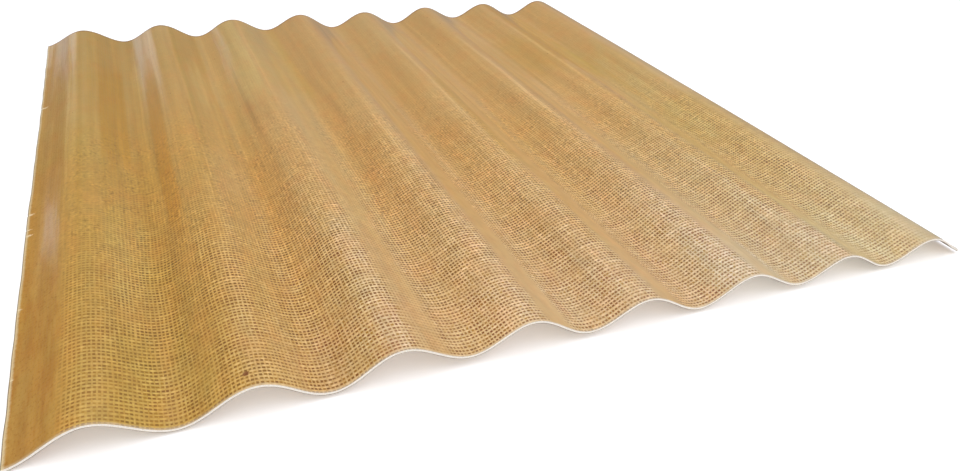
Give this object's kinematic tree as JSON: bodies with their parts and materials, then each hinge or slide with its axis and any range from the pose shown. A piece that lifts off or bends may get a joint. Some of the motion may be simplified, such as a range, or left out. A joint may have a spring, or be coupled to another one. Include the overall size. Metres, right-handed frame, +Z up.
{
  "type": "corrugated roofing sheet",
  "caption": "Thin rigid corrugated roofing sheet of open woven natural fibre cloth set in glossy amber resin, sawn square on all edges and lying flat.",
  "frame": {"origin": "on the level surface that the sheet lies on, below the centre of its outline", "axes": "+X across the waves, +Y along the waves, +Z up, square to the sheet"},
  "size_m": [0.6, 0.62, 0.0164],
  "materials": {
    "fibre_laminate": "glossy amber resin over an open jute weave"
  },
  "bodies": {
    "root": {"corrugated_sheet": "fibre_laminate"}
  },
  "joints": []
}
